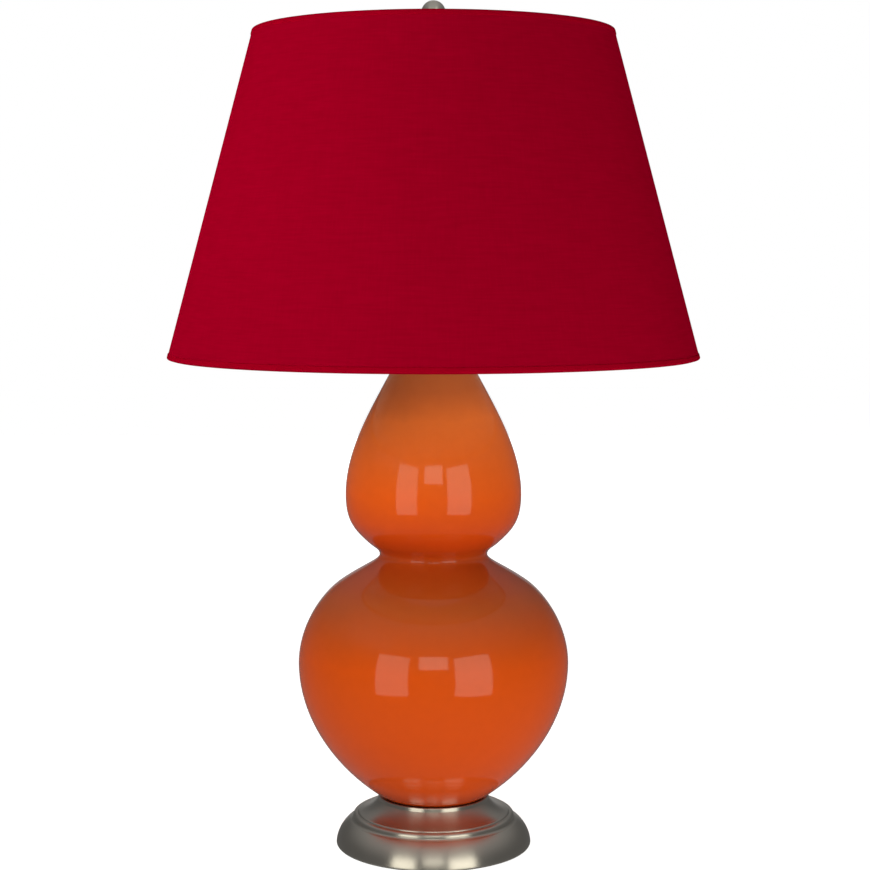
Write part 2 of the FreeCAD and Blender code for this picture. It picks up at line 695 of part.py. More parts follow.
def switch_knob():
    """Tapered and fluted turn knob pressed on the end of the shaft."""
    outer = KNOB_SHAFT + INSULATOR_R + KNOB_LENGTH - KNOB_SOCKET
    near = outer - KNOB_LENGTH
    socket_end = near + KNOB_SOCKET
    bore = KNOB_SHAFT_R + THREAD_FIT
    knob = turned([
        (bore, near), (KNOB_NECK_R, near), (KNOB_R, near + KNOB_TAPER),
        (KNOB_R, outer - KNOB_EDGE), (KNOB_R - KNOB_EDGE, outer), (0, outer),
        (0, socket_end), (bore, socket_end)])
    flute = rod(FLUTE_R, at(KNOB_R + FLUTE_SHALLOW, near - 1), FreeCAD.Vector(0, 0, 1), KNOB_LENGTH + 2)
    knob = knob.cut(Part.makeCompound(around(flute, KNOB_FLUTES)))
    knob.rotate(FreeCAD.Vector(), FreeCAD.Vector(1, 0, 0), 90)
    knob.translate(FreeCAD.Vector(0, 0, knob_z))
    return knob


# ---- bulb ----
def bulb_contact():
    """Soldered tip, slightly domed underneath."""
    edge = bulb_z + BULB_TIP / 4
    return turned([(0, bulb_z), (BULB_TIP_FLAT_R, bulb_z), (BULB_TIP_R, edge),
                   (BULB_TIP_R, bulb_z + BULB_TIP), (0, bulb_z + BULB_TIP)])


def bulb_insulator():
    low = bulb_z + BULB_TIP
    return turned([(0, low), (BULB_TIP_R + 1, low), (BULB_INSULATOR_R, bulb_cap_z), (0, bulb_cap_z)])


def bulb_cap():
    """Rolled-thread cap: one crest and one root to each pitch of the thread."""
    root = BULB_CAP_R - THREAD_DEPTH
    inner = BULB_INSULATOR_R - GLASS_WALL
    points = [(inner, bulb_cap_z), (BULB_INSULATOR_R, bulb_cap_z)]
    for turn in range(THREAD_TURNS):
        low = bulb_cap_z + turn * THREAD_PITCH
        points += [(root, low + THREAD_PITCH * THREAD_ROOT),
                   (BULB_CAP_R, low + THREAD_PITCH * THREAD_CREST)]
    return turned(points + [(root, glass_z), (inner, glass_z)])


def bulb_glass():
    """Pear-shaped envelope, open inside and at its neck, which stands on the cap."""
    def envelope(wall):
        return [
            (BULB_CAP_R - THREAD_DEPTH - wall, glass_z, 3.0, 0.0, 0.42),
            (BULB_GLASS_R - wall, glass_z + BULB_SHOULDER, 0.0, 0.42, 0.39),
            (0.0, glass_z + BULB_SHOULDER + BULB_GLASS_R - wall, -90.0, 0.39, 0.0)]
    outside = neck_and_crown(envelope(0), 4, 6)
    inside = neck_and_crown(envelope(GLASS_WALL), 2, 3)
    return turned(outside + inside[::-1])


def neck_and_crown(nodes, neck_steps, crown_steps):
    """Points on the bulb's swelling neck and on its round crown, which turn at unlike rates."""
    neck = curve(nodes[:2], abs(nodes[1][2] - nodes[0][2]) / neck_steps)
    crown = curve(nodes[1:], abs(nodes[2][2] - nodes[1][2]) / crown_steps)
    return neck + crown[1:]


# ---- shade: places are given along the slant from an edge and square to the cone ----
slant = math.hypot(SHADE_TOP_R - SHADE_BOTTOM_R, SHADE_HEIGHT)
slant_dir = ((SHADE_TOP_R - SHADE_BOTTOM_R) / slant, SHADE_HEIGHT / slant)
inner_skin = FABRIC_THICK + LINER_THICK
channel_depth = inner_skin + 2 * RING_WIRE_R + RING_FIT


def on_cone(along, outward):
    """Radius and height of a place: along the slant from the lower edge, outward from the fabric."""
    return (SHADE_BOTTOM_R + along * slant_dir[0] + outward * slant_dir[1] - TRIM_THICK * slant_dir[1],
            shade_low + along * slant_dir[1] - outward * slant_dir[0] + TRIM_THICK * slant_dir[0])


def cone_ring(places):
    """Solid of revolution from a profile of (along, outward) places on the cone."""
    return turned([on_cone(*place) for place in places])


cloth_low = TRIM_THICK
cloth_high = slant - TRIM_THICK


def shade_fabric():
    return cone_ring([(cloth_low, 0), (cloth_low, -FABRIC_THICK),
                      (cloth_high, -FABRIC_THICK), (cloth_high, 0)])


def shade_liner():
    return cone_ring([(cloth_low, -FABRIC_THICK), (cloth_low, -inner_skin),
                      (cloth_high, -inner_skin), (cloth_high, -FABRIC_THICK)])


def ring_place(edge, inward):
    """Middle of a ring wire that lies against the liner and the trim's turned edge."""
    return on_cone(edge + inward * (TRIM_THICK + RING_WIRE_R), -inner_skin - RING_WIRE_R)


def shade_ring(edge, inward):
    """Steel ring wire, with its round section drawn as an octagon that lies flat on the liner."""
    r, z = ring_place(edge, inward)
    corner = RING_WIRE_R / math.cos(math.pi / 8)
    tilt = math.atan2(-slant_dir[0], slant_dir[1])
    angles = [tilt + math.radians(22.5 + 45 * i) for i in range(8)]
    return turned([(r + corner * math.cos(a), z + corner * math.sin(a)) for a in angles])


def shade_trim(edge, inward):
    """Folded strip over the shade's edge: outer leg, edge and inner leg round the ring wire."""
    fold = edge + inward * TRIM_THICK
    outer_end = edge + inward * TRIM_HEIGHT
    places = [(edge, TRIM_THICK), (outer_end, TRIM_THICK), (outer_end, 0), (fold, 0),
              (fold, -channel_depth), (outer_end, -channel_depth),
              (outer_end, -channel_depth - TRIM_THICK), (edge, -channel_depth - TRIM_THICK)]
    return cone_ring(places)


def shade_spider():
    """Washer hub with three welded wire arms, one to the back, that rise to the top ring."""
    ring_r, ring_z = ring_place(slant, -1)
    arm_z = hub_z + SPIDER_WIRE_R
    corners = [(HUB_OUTER_R - SPIDER_WIRE_R, arm_z), (ring_r - SPIDER_RISE_RUN, arm_z), (ring_r, ring_z)]
    path = rounded_path(corners, [SPIDER_BEND_R])
    arm = wire_form(path, SPIDER_WIRE_R)
    arm.rotate(FreeCAD.Vector(), FreeCAD.Vector(0, 0, 1), 90)
    hub = tube(STUD_R + SEAT_GAP, HUB_OUTER_R, hub_z, hub_z + HUB_THICK)
    spider = hub.fuse(around(arm, SPIDER_ARMS))
    return spider.cut(shade_ring(slant, -1))


# ---- finial ----
def finial_insert():
    """Threaded insert in the finial's stem."""
    return tube(STUD_R + TURN_FIT, INSERT_R, finial_z + SEAT_GAP / 3, finial_z + INSERT_HEIGHT)


def finial_knob():
    """Turned ball on a short stem and a round foot, bored for the insert."""
    top = finial_z + FINIAL_HEIGHT
    ball_z = top - BALL_R
    stem_r = INSERT_R + INSERT_WALL_LEFT
    low = finial_z + SEAT_GAP / 3
    foot_top = low + FINIAL_FOOT
    start = math.asin(stem_r / BALL_R)
    angles = [start + (math.pi - start) * i / BALL_STEPS for i in range(BALL_STEPS)]
    ball = [(BALL_R * math.sin(a), ball_z - BALL_R * math.cos(a)) for a in angles]
    bore = INSERT_R + THREAD_FIT
    bore_top = finial_z + INSERT_HEIGHT + SEAT_GAP
    return turned([
        (bore, low),
        (FINIAL_FOOT_R, low),
        *bowed((FINIAL_FOOT_R, low), (FINIAL_FOOT_R, foot_top), FINIAL_FOOT / 3, 3),
        (stem_r, foot_top),
        *ball,
        (0, top),
        (0, bore_top),
        (bore, bore_top)])


PIECES = {
    "metal_base": metal_base,
    "cord_bushing": cord_bushing,
    "base_weight": base_weight,
    "felt_pad": felt_pad,
    "base_washer": base_washer,
    "base_lock_washer": base_lock_washer,
    "base_locknut": lambda: hex_nut(nut_z),
    "threaded_pipe": threaded_pipe,
    "foot_gasket": foot_gasket,
    "ceramic_body": ceramic_body,
    "neck_gasket": neck_gasket,
    "vase_cap": vase_cap,
    "neck_tube": neck_tube,
    "harp_saddle": harp_saddle,
    "saddle_locknut": lambda: hex_nut(top_nut_z),
    "harp_bow": harp_bow,
    "harp_sleeve_left": lambda: harp_sleeve(-1),
    "harp_sleeve_right": lambda: harp_sleeve(1),
    "harp_swivel_stud": harp_swivel_stud,
    "socket_cap": socket_cap,
    "socket_set_screw": socket_set_screw,
    "socket_shell": socket_shell,
    "socket_liner": socket_liner,
    "socket_insulator": socket_insulator,
    "terminal_screws": terminal_screws,
    "socket_screw_shell": socket_screw_shell,
    "centre_contact": centre_contact,
    "ring_contact": ring_contact,
    "switch_shaft": switch_shaft,
    "switch_knob": switch_knob,
    "bulb_contact": bulb_contact,
    "bulb_insulator": bulb_insulator,
    "bulb_cap": bulb_cap,
    "bulb_glass": bulb_glass,
    "shade_fabric": shade_fabric,
    "shade_liner": shade_liner,
    "shade_top_ring": lambda: shade_ring(slant, -1),
    "shade_bottom_ring": lambda: shade_ring(0, 1),
    "shade_top_trim": lambda: shade_trim(slant, -1),
    "shade_bottom_trim": lambda: shade_trim(0, 1),
    "shade_spider": shade_spider,
    "finial_insert": finial_insert,
    "finial_knob": finial_knob,
}


def main():
    os.makedirs("parts", exist_ok=True)
    for name, make in PIECES.items():
        shape = make()
        if not shape.isValid() or shape.Volume <= 0:
            raise ValueError(f"{name} is not a sound solid")
        shape.exportStep(f"parts/{name}.step")
        print(f"{name}: {len(shape.Solids)} solid(s), {shape.Volume / 1000:.2f} cm3")


main()
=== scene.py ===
"""Table lamp: a glazed double gourd on a stepped metal foot, with a red cone shade on a harp.

Metres, +Z up, the front faces -Y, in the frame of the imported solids. Outlines are in
millimetres as (radius, height) and become metres when they are turned into meshes.
"""
import bpy
import bmesh
import math
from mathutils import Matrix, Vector


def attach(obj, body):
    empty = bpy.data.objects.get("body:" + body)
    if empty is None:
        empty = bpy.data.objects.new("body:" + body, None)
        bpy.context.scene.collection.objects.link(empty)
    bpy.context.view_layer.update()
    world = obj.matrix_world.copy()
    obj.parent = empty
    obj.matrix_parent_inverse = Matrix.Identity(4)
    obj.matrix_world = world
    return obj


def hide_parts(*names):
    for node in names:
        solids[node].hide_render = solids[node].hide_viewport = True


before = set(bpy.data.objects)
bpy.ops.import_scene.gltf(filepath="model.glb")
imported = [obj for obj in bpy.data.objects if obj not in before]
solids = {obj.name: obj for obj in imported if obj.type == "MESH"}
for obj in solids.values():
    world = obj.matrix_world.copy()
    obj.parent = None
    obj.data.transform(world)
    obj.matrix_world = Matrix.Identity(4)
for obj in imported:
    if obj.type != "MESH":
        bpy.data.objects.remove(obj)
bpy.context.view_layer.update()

MM = 0.001
ROUND = 160             # divisions round a turned piece
ON_AXIS = 1e-6          # a point nearer the axis than this lies on it

# heights at which pieces meet
GOURD_LOW = 46.2
GOURD_TOP = 468.2
CAP_LOW = 469.7
CAP_TOP = 477.7
NECK_TOP = 499.2
FINIAL_LOW = 735.5
FINIAL_TOP = 773.4


# ---- outlines ----
def arc(start, end, bow, steps):
    """Points after start on the arc to end, whose middle stands bow to the right of the way there."""
    length = math.hypot(end[0] - start[0], end[1] - start[1])
    ahead = ((end[0] - start[0]) / length, (end[1] - start[1]) / length)
    half = 2 * math.atan(2 * bow / length)
    radius = length / 2 / math.sin(half)
    points = []
    for i in range(1, steps + 1):
        turn = half * (1 - 2 * i / steps)
        along = radius * (math.sin(half) - math.sin(turn))
        out = radius * (math.cos(turn) - math.cos(half))
        points.append((start[0] + along * ahead[0] + out * ahead[1],
                       start[1] + along * ahead[1] - out * ahead[0]))
    return points


def profile(*stretches):
    """Outline through (radius, height) points. A stretch with two more numbers, how far it bows to
    the right of its way and its steps, gets to its point on an arc."""
    points = []
    here = None
    for radius, height, *bend in stretches:
        there = (radius, height)
        points += arc(here, there, *bend) if bend else [there]
        here = there
    return points


def swell(stations, steps):
    """Smooth outline through (radius, height, lean in degrees, pull before, pull after) stations."""
    points = [stations[0][:2]]
    for (r0, z0, lean0, _, pull0), (r1, z1, lean1, pull1, _) in zip(stations, stations[1:]):
        chord = math.hypot(r1 - r0, z1 - z0)
        a0 = math.radians(lean0)
        a1 = math.radians(lean1)
        poles = [(r0, z0),
                 (r0 + chord * pull0 * math.sin(a0), z0 + chord * pull0 * math.cos(a0)),
                 (r1 - chord * pull1 * math.sin(a1), z1 - chord * pull1 * math.cos(a1)),
                 (r1, z1)]
        for i in range(1, steps + 1):
            t = i / steps
            weights = ((1 - t) ** 3, 3 * t * (1 - t) ** 2, 3 * t * t * (1 - t), t ** 3)
            points.append(tuple(sum(w * pole[k] for w, pole in zip(weights, poles)) for k in (0, 1)))
    return points


def moved_in(stations, wall):
    """The same stations a wall's thickness further in, square to the outline."""
    return [(r - wall * math.cos(math.radians(lean)), z + wall * math.sin(math.radians(lean)),
             lean, before, after) for r, z, lean, before, after in stations]


# ---- meshes ----
def mesh_of(form, name):
    """Mesh made from an edited form, which is let go."""
    mesh = bpy.data.meshes.new(name)
    form.to_mesh(mesh)
    form.free()
    return mesh


def placed(name, data):
    """New object in the scene for a mesh, a light or the camera."""
    thing = bpy.data.objects.new(name, data)
    bpy.context.scene.collection.objects.link(thing)
    return thing


def shown(name, mesh, body, finish, crease):
    """Object from a mesh, riding on a body, smooth but for edges sharper than crease degrees."""
    mesh.shade_smooth()
    mesh.set_sharp_from_angle(angle=math.radians(crease))
    piece = placed(name, mesh)
    for material in (finish if isinstance(finish, list) else [finish]):
        mesh.materials.append(material)
    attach(piece, body)
    return piece


def turned(name, outline, body, finish, shape=None, second_from=None, crease=35):
    """Closed outline turned about Z. shape(r, z, angle) may move a point; faces from the outline's
    point second_from on take the second finish."""
    form = bmesh.new()
    rings = []
    for r, z in outline:
        if r < ON_AXIS:
            rings.append([form.verts.new((0, 0, z * MM))] * ROUND)
            continue
        ring = []
        for i in range(ROUND):
            a = 2 * math.pi * i / ROUND
            r1, z1 = shape(r, z, a) if shape else (r, z)
            ring.append(form.verts.new((r1 * MM * math.cos(a), r1 * MM * math.sin(a), z1 * MM)))
        rings.append(ring)
    for k, (low, high) in enumerate(zip(rings, rings[1:] + rings[:1])):
        for i in range(ROUND):
            j = (i + 1) % ROUND
            corners = list(dict.fromkeys([low[i], low[j], high[j], high[i]]))
            if len(corners) > 2:
                face = form.faces.new(corners)
                face.material_index = int(second_from is not None and k >= second_from)
    bmesh.ops.recalc_face_normals(form, faces=form.faces)
    return shown(name, mesh_of(form, name), body, finish, crease)


def bored(piece, radius, start, length):
    """Cuts a round hole along +Y into a piece and keeps the result as its mesh."""
    form = bmesh.new()
    bmesh.ops.create_cone(form, cap_ends=True, segments=64, radius1=radius * MM,
                          radius2=radius * MM, depth=length * MM)
    drill = placed("drill", mesh_of(form, "drill"))
    drill.location = Vector((start[0], start[1] + length / 2, start[2])) * MM
    drill.rotation_euler = (math.radians(90), 0, 0)
    cut = piece.modifiers.new("bore", "BOOLEAN")
    cut.object = drill
    cut.operation = "DIFFERENCE"
    bpy.context.view_layer.update()
    drilled = piece.evaluated_get(bpy.context.evaluated_depsgraph_get())
    result = bpy.data.meshes.new_from_object(drilled)
    piece.modifiers.clear()
    piece.data = result
    bpy.data.objects.remove(drill)


# ---- materials ----
def srgb(code):
    """Linear colour of an sRGB hex value."""
    parts = [int(code[i:i + 2], 16) / 255 for i in (1, 3, 5)]
    return [c / 12.92 if c <= 0.04045 else ((c + 0.055) / 1.055) ** 2.4 for c in parts] + [1.0]


def add(tree, kind, inputs=(), **settings):
    """Adds a node. Each of its inputs takes a plain value or a (node, output) pair to link from."""
    node = tree.nodes.new("ShaderNode" + kind)
    for name, value in settings.items():
        setattr(node, name, value)
    for socket, value in dict(inputs).items():
        if isinstance(value, tuple) and isinstance(value[0], bpy.types.Node):
            tree.links.new(value[0].outputs[value[1]], node.inputs[socket])
        else:
            node.inputs[socket].default_value = value
    return node


def surface(name, **sockets):
    """Material with one Principled shader, whose plain values are set on its own sockets."""
    material = bpy.data.materials.new(name)
    material.use_nodes = True
    tree = material.node_tree
    shader = tree.nodes["Principled BSDF"]
    for socket, value in sockets.items():
        shader.inputs[socket.replace("_", " ")].default_value = value
    return material, tree, shader


def link(tree, node, output, shader, socket):
    """Runs a node's output into one of the shader's sockets."""
    tree.links.new(node.outputs[output], shader.inputs[socket])


def grained(name, dark, light, patch, grain, depth, roughness, spread, **sockets):
    """Finish whose colour drifts between two values over patches, with a fine grain in its relief
    and a roughness that wanders by spread. Patch, grain and depth are in millimetres."""
    material, tree, shader = surface(name, **sockets)
    place = add(tree, "TexCoord")
    drift = add(tree, "TexNoise", {"Vector": (place, "Object"), "Scale": 1 / (patch * MM),
                                   "Detail": 3.0})
    colour = add(tree, "MixRGB", {"Fac": (drift, "Fac"), "Color1": srgb(dark),
                                  "Color2": srgb(light)})
    link(tree, colour, "Color", shader, "Base Color")
    fine = add(tree, "TexNoise", {"Vector": (place, "Object"), "Scale": 1 / (grain * MM),
                                  "Detail": 4.0})
    rough = add(tree, "MapRange", {"Value": (fine, "Fac"), "To Min": roughness - spread,
                                   "To Max": roughness + spread})
    link(tree, rough, "Result", shader, "Roughness")
    relief = add(tree, "Bump", {"Height": (fine, "Fac"), "Distance": depth * MM, "Strength": 1.0})
    link(tree, relief, "Normal", shader, "Normal")
    return material


def lathe_finished(name, dark, light, roughness, spread, line, depth, **sockets):
    """Metal turned and polished on a lathe: fine rings round the axis, line millimetres apart,
    which draw highlights out across them where it is anisotropic, and a slow drift of tone."""
    patch = 35          # millimetres over which the tone drifts
    material, tree, shader = surface(name, Metallic=1.0, Anisotropic_Rotation=0.25, **sockets)
    round_axis = add(tree, "Tangent", direction_type="RADIAL", axis="Z")
    link(tree, round_axis, "Tangent", shader, "Tangent")
    place = add(tree, "TexCoord")
    apart = add(tree, "SeparateXYZ", {"Vector": (place, "Object")})
    flat = add(tree, "CombineXYZ", {"X": (apart, "X"), "Y": (apart, "Y")})
    radius = add(tree, "VectorMath", {0: (flat, "Vector")}, operation="LENGTH")
    section = add(tree, "CombineXYZ", {"X": (radius, "Value"), "Y": (apart, "Z")})
    rings = add(tree, "TexNoise", {"Vector": (section, "Vector"), "Scale": 1 / (line * MM),
                                   "Detail": 2.0})
    drift = add(tree, "TexNoise", {"Vector": (place, "Object"), "Scale": 1 / (patch * MM),
                                   "Detail": 4.0})
    colour = add(tree, "MixRGB", {"Fac": (drift, "Fac"), "Color1": srgb(dark),
                                  "Color2": srgb(light)})
    link(tree, colour, "Color", shader, "Base Color")
    mixed = add(tree, "Math", {0: (rings, "Fac"), 1: (drift, "Fac")}, operation="MULTIPLY")
    rough = add(tree, "MapRange", {"Value": (mixed, "Value"), "From Max": 0.5,
                                   "To Min": roughness - spread, "To Max": roughness + spread})
    link(tree, rough, "Result", shader, "Roughness")
    relief = add(tree, "Bump", {"Height": (rings, "Fac"), "Distance": depth * MM, "Strength": 1.0})
    link(tree, relief, "Normal", shader, "Normal")
    return material


def orange_glaze():
    """Glossy glaze, dipped and fired, its colour set by height: lighter over the crests and pooled
    darker at the foot. The darker, browner band round the shoulder and the waist is partly glaze
    pooled there and partly painted shade under the upper bulb; the dull, greyish brown at the neck
    and mouth is painted shade under the shade with a painted reflection of its white lining. Its
    skin has the slow ripple of orange peel."""
    low = 0.046         # metres, by the body's foot
    high = 0.468        # metres, by its mouth
    flow_size = 60      # millimetres: where it ran, its specks, and the ripple and its depth
    speck_size = 9
    peel_size = 14
    peel_depth = 0.05
    material, tree, shader = surface("orange_glaze", IOR=1.4)
    place = add(tree, "TexCoord")
    apart = add(tree, "SeparateXYZ", {"Vector": (place, "Object")})
    height = add(tree, "MapRange", {"Value": (apart, "Z"), "From Min": low, "From Max": high})
    flow = add(tree, "TexNoise", {"Vector": (place, "Object"), "Scale": 1 / (flow_size * MM),
                                  "Detail": 3.0})
    wander = add(tree, "MapRange", {"Value": (flow, "Fac"), "To Min": -0.02, "To Max": 0.02})
    level = add(tree, "Math", {0: (height, "Result"), 1: (wander, "Result")}, operation="ADD")
    pooled_and_shaded = add(tree, "ValToRGB", {"Fac": (level, "Value")})
    # colour by height: the band at 0.45 to 0.535 is partly pooled glaze and partly painted shade; 0.9
    # and 1.0 are painted shade and a painted greyish reflection under the shade
    stops = [(0.0, "#CC460C"), (0.05, "#E2520C"), (0.33, "#EA580C"), (0.45, "#C2561E"),
             (0.535, "#BA4612"), (0.58, "#DA4A12"), (0.68, "#F26014"), (0.84, "#F4762E"),
             (0.9, "#D46A32"), (1.0, "#C87042")]
    ramp = pooled_and_shaded.color_ramp
    while len(ramp.elements) < len(stops):
        ramp.elements.new(0.5)
    for element, (position, code) in zip(ramp.elements, stops):
        element.position = position
        element.color = srgb(code)
    speck = add(tree, "TexNoise", {"Vector": (place, "Object"), "Scale": 1 / (speck_size * MM),
                                   "Detail": 5.0})
    tone = add(tree, "MapRange", {"Value": (speck, "Fac"), "To Min": 0.0, "To Max": 0.12})
    deep = add(tree, "MixRGB", {"Fac": (tone, "Result"), "Color1": (pooled_and_shaded, "Color"),
                                "Color2": srgb("#A83008")})
    link(tree, deep, "Color", shader, "Base Color")
    rough = add(tree, "MapRange", {"Value": (flow, "Fac"), "To Min": 0.05, "To Max": 0.10})
    link(tree, rough, "Result", shader, "Roughness")
    peel = add(tree, "TexNoise", {"Vector": (place, "Object"), "Scale": 1 / (peel_size * MM),
                                  "Detail": 1.0})
    relief = add(tree, "Bump", {"Height": (peel, "Fac"), "Distance": peel_depth * MM,
                                "Strength": 1.0})
    link(tree, relief, "Normal", shader, "Normal")
    return material


def woven_red(name, dark, light, slub_long, slub_high):
    """Plain-woven fabric laminated to the shade, quite matt: uneven weft threads run round it as
    faint slubs over a finer upright warp. The real threads are 0.4 mm apart; they are drawn
    coarser, so that they show at the size of the picture. Sizes of threads are in millimetres."""
    warp_apart = 1.1
    warp_long = 18
    relief_depth = 0.18
    material, tree, shader = surface(name, Roughness=0.9, Specular_IOR_Level=0.0)
    place = add(tree, "TexCoord")
    apart = add(tree, "SeparateXYZ", {"Vector": (place, "Object")})
    front = add(tree, "Math", {0: (apart, "Y"), 1: -1.0}, operation="MULTIPLY")
    angle = add(tree, "Math", {0: (apart, "X"), 1: (front, "Value")}, operation="ARCTAN2")
    middle_r = 0.2      # metres, halfway up the shade
    around = add(tree, "Math", {0: (angle, "Value"), 1: middle_r}, operation="MULTIPLY")
    weft_x = add(tree, "Math", {0: (around, "Value"), 1: 1 / (slub_long * MM)}, operation="MULTIPLY")
    weft_z = add(tree, "Math", {0: (apart, "Z"), 1: 1 / (slub_high * MM)}, operation="MULTIPLY")
    weft_place = add(tree, "CombineXYZ", {"X": (weft_x, "Value"), "Y": (weft_z, "Value")})
    weft = add(tree, "TexNoise", {"Vector": (weft_place, "Vector"), "Scale": 1.0, "Detail": 3.0})
    warp_x = add(tree, "Math", {0: (around, "Value"), 1: 1 / (warp_apart * MM)}, operation="MULTIPLY")
    warp_z = add(tree, "Math", {0: (apart, "Z"), 1: 1 / (warp_long * MM)}, operation="MULTIPLY")
    warp_place = add(tree, "CombineXYZ", {"X": (warp_x, "Value"), "Y": (warp_z, "Value")})
    warp = add(tree, "TexNoise", {"Vector": (warp_place, "Vector"), "Scale": 1.0, "Detail": 2.0})
    cloth = add(tree, "MixRGB", {"Fac": 0.35, "Color1": (weft, "Color"), "Color2": (warp, "Color")})
    threads = add(tree, "RGBToBW", {"Color": (cloth, "Color")})
    contrast = add(tree, "MapRange", {"Value": (threads, "Val"), "From Min": 0.3, "From Max": 0.7})
    colour = add(tree, "MixRGB", {"Fac": (contrast, "Result"), "Color1": srgb(dark),
                                  "Color2": srgb(light)})
    link(tree, colour, "Color", shader, "Base Color")
    relief = add(tree, "Bump", {"Height": (threads, "Val"), "Distance": relief_depth * MM,
                                "Strength": 1.0})
    link(tree, relief, "Normal", shader, "Normal")
    return material


glaze = orange_glaze()
# unglazed stoneware inside the body: pale, dry and slightly sandy
bisque = grained("bisque_stoneware", "#CDBCA0", "#DCCFB8", 25, 1.2, 0.08, 0.9, 0.06)
# antique nickel plate over cast zinc, brushed on the lathe: warm grey and satin, with window light
# drawn into upright streaks
antique = lathe_finished("antique_nickel", "#C4BEB3", "#D4CEC3", 0.32, 0.03, 1.3, 0.001,
                         Anisotropic=0.88)
# bright nickel on the small turned parts and the bent saddle
nickel = lathe_finished("bright_nickel", "#B9B4AA", "#CBC7BE", 0.2, 0.05, 0.9, 0.004)
# zinc-plated steel: cool grey with a faint bloom
zinc = grained("zinc_plated_steel", "#A3A6A8", "#B9BCBD", 6, 0.6, 0.01, 0.36, 0.08, Metallic=1.0)
# sand-cast iron weight, painted black against rust
cast = grained("painted_cast_iron", "#26272A", "#33343A", 12, 1.5, 0.25, 0.62, 0.1)
# pressed wool felt: matted fibres, no shine
felt = grained("pressed_felt", "#2C3A2E", "#3B4B3D", 5, 0.9, 0.35, 0.95, 0.04, Sheen_Weight=0.3)
# injection-moulded nylon with a fine spark-eroded texture
nylon = grained("moulded_nylon", "#17181A", "#1F2022", 20, 0.7, 0.02, 0.48, 0.06)
# moulded rubber gasket, dull with a dusting of chalk
rubber = grained("moulded_rubber", "#1D1D1C", "#2A2927", 8, 0.8, 0.03, 0.8, 0.08)
# polished brass plate of the lamp holder and the threaded parts
brass = lathe_finished("polished_brass", "#C79A48", "#D8AE5E", 0.22, 0.05, 0.8, 0.004)
# vulcanised fibre sleeve inside the holder: grey card with long fibres
fibre = grained("vulcanised_fibre", "#8C857A", "#9E978A", 3, 0.9, 0.04, 0.8, 0.08)
# moulded phenolic: brown-black, glossy where it left the mould
phenolic = grained("moulded_phenolic", "#1A1412", "#241B17", 9, 0.9, 0.015, 0.32, 0.06)
# bulb glass coated inside with white silica, acid-frosted to a silky skin
frosted = grained("frosted_bulb_glass", "#E6E4DD", "#F0EEE8", 15, 1.0, 0.01, 0.32, 0.05, IOR=1.5)
# black glass bead that insulates the bulb's tip
bead_glass = grained("black_bead_glass", "#0E0C12", "#17141C", 5, 1.2, 0.01, 0.12, 0.04, IOR=1.52)
# spun aluminium of the bulb's screw cap
aluminium = lathe_finished("spun_aluminium", "#B4B6B8", "#C6C8CA", 0.3, 0.06, 0.8, 0.005)
# soft solder, cooled to a dull dimpled blob
solder = grained("soft_solder", "#8C8E90", "#A4A6A8", 2, 0.7, 0.05, 0.42, 0.08, Metallic=1.0)
red_cloth = woven_red("red_woven_fabric", "#9A001F", "#AE0027", 22, 1.5)
# the folded strip is the same cloth cut on the straight, pressed and a little darker from the glue
red_trim = woven_red("red_folded_strip", "#9A001C", "#AE0022", 14, 1.2)
# white styrene lining, matt with the faint drift of rolled sheet
styrene = grained("styrene_lining", "#E4DFD3", "#EFEBE1", 40, 1.6, 0.015, 0.55, 0.06)
# white-painted wire of the shade's rings and spider
painted_wire = grained("painted_steel_wire", "#D6D3CB", "#E6E3DC", 7, 0.9, 0.02, 0.38, 0.06)


# ---- metal foot ----
def foot_outline():
    """From the rim up over the skirt to the collar, then down the hollow."""
    return profile(
        (88.2, 0.8), (90.4, 3.0, 0.64, 6),          # rim
        (77.4, 24.3, 2.9, 22),                      # round skirt
        (74.6, 26.4, -0.5, 8),                      # step
        (71.3, 30.5, 1.4, 12),                      # bead
        (70.4, 30.7, -0.1, 2),                      # ledge
        (68.7, 32.2, 0.4, 6),                       # ridge
        (51.3, 43.5, -2.2, 20),                     # cove
        (51.3, 46.3), (50.4, 47.2, 0.27, 5),        # collar
        (49.9, 47.2), (49.4, 46.7), (49.4, 44.7),   # seat inside the collar
        (5.75, 44.7), (5.75, 41.7),                 # hole for the pipe
        (48.3, 41.7), (48.3, 35.2), (65.7, 29.2), (74.4, 21.3), (82.0, 16.0),
        (82.0, 2.0), (85.3, 2.0), (85.3, 0.8))      # recess for the felt


foot = turned("stepped_foot", foot_outline(), "lamp_stand", antique, crease=28)
# cord outlet low at the back: the bushing's hole and the flat sunk round it
bored(foot, 4.85, (0, 41, 10), 60)
bored(foot, 6.5, (0, 84.6, 10), 20)
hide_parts("metal_base")

felt_disc = turned("felt_disc", [(0, 0), (84.0, 0), (84.8, 0.4), (85.0, 1.0), (85.0, 1.8),
                                 (84.6, 2.0), (0, 2.0)], "lamp_stand", felt)
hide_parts("felt_pad")
lower_gasket = turned("lower_gasket",
                      [(19.8, 44.9), (20.0, 44.7), (45.2, 44.7), (45.4, 44.9), (45.4, 46.0),
                       (45.2, GOURD_LOW), (20.0, GOURD_LOW), (19.8, 46.0)],
                      "lamp_stand", rubber)
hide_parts("foot_gasket")
upper_gasket = turned("upper_gasket",
                      [(20.6, 468.3), (20.7, GOURD_TOP), (25.6, GOURD_TOP), (25.7, 468.4),
                       (25.7, 469.5), (25.6, CAP_LOW), (20.7, CAP_LOW), (20.6, 469.6)],
                      "lamp_stand", rubber)
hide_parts("neck_gasket")

